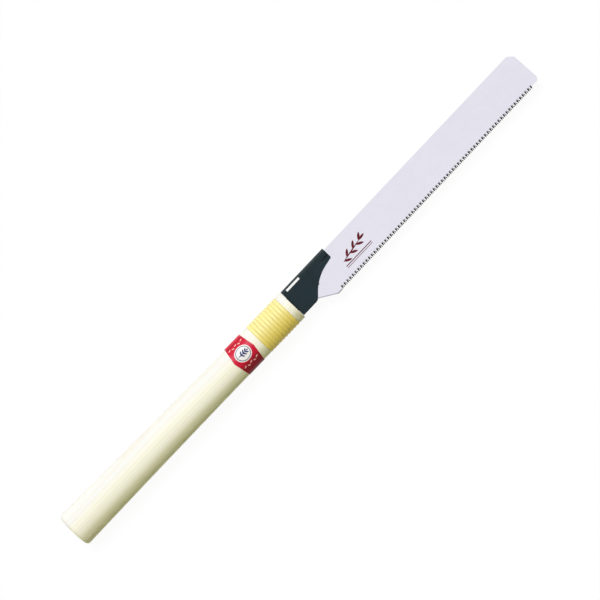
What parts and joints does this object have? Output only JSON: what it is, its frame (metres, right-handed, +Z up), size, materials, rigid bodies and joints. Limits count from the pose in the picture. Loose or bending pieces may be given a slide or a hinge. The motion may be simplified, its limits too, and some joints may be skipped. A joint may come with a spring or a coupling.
{
  "type": "bamboo saw",
  "caption": "Pull saw for bamboo: a parallel fine-toothed blade hooked into a folded steel holder, on an oval wooden handle bound at the front with a wound strip.",
  "frame": {"origin": "centre of the saw's box in plan, on the floor under the handle as it lies on its side", "axes": "+X from the butt to the tip of the blade, +Y from the teeth to the spine, +Z up, square to the blade"},
  "size_m": [0.5622, 0.0392, 0.0283],
  "materials": {
    "handle_wood": "sanded, clear oiled",
    "wrap_strip": "lacquered cane",
    "label_film": "printed film",
    "holder_coating": "satin black oxide coat",
    "bright_steel": "bright",
    "blade_steel": "satin ground, with dark hardened teeth"
  },
  "bodies": {
    "handle_body": {"handle": "handle_wood", "grip_wrap": "wrap_strip", "label": "label_film", "holder": "holder_coating", "tang_liner": "bright_steel", "tang_rivets": "bright_steel", "tang_pin": "bright_steel", "hook_pin": "holder_coating"},
    "blade_body": {"blade": "blade_steel"}
  },
  "joints": [
    {"name": "blade_swing", "type": "hinge", "parent": "handle_body", "child": "blade_body", "pos_m": [-0.00147, 0.01089, 0.01414], "axis": [0, 0, -1], "range_deg": [0, 30]}
  ]
}
